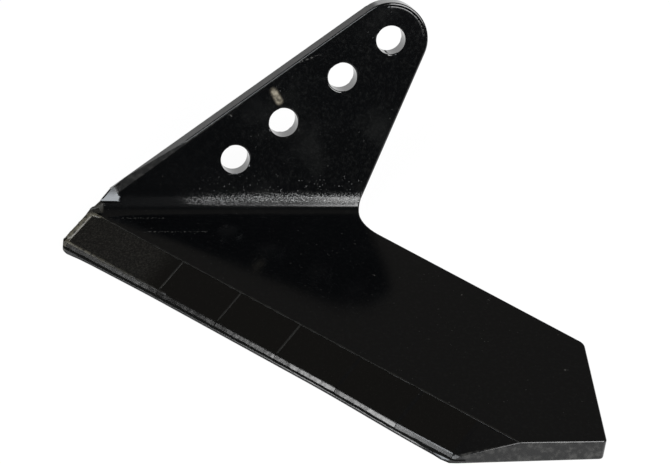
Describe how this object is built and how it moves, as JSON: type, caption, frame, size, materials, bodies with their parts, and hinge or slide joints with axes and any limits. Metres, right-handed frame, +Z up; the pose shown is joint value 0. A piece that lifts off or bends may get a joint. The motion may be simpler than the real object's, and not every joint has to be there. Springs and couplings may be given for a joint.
{
  "type": "cultivator wing share",
  "caption": "Bent steel cultivator wing share with a slanting row of bolt holes in its flange and hard-metal tiles along its swept cutting edge.",
  "frame": {"origin": "centre of the bounding box, on the floor that the flat wing rests on", "axes": "+Z up, square to the wing; +X along the bend line, from the front foot towards the rear; +Y across the bend, towards the flange"},
  "size_m": [0.2164, 0.2035, 0.0969],
  "materials": {
    "plate_paint": "gloss black dip paint over hot-rolled steel, with small specks and rub marks",
    "tile_paint": "thin black paint over brazed hard metal, slightly grainy"
  },
  "bodies": {
    "root": {"share_plate": "plate_paint", "carbide_tile_1": "tile_paint", "carbide_tile_2": "tile_paint", "carbide_tile_3": "tile_paint", "carbide_tile_4": "tile_paint", "carbide_tile_5": "tile_paint", "carbide_tile_6": "tile_paint"}
  },
  "joints": []
}
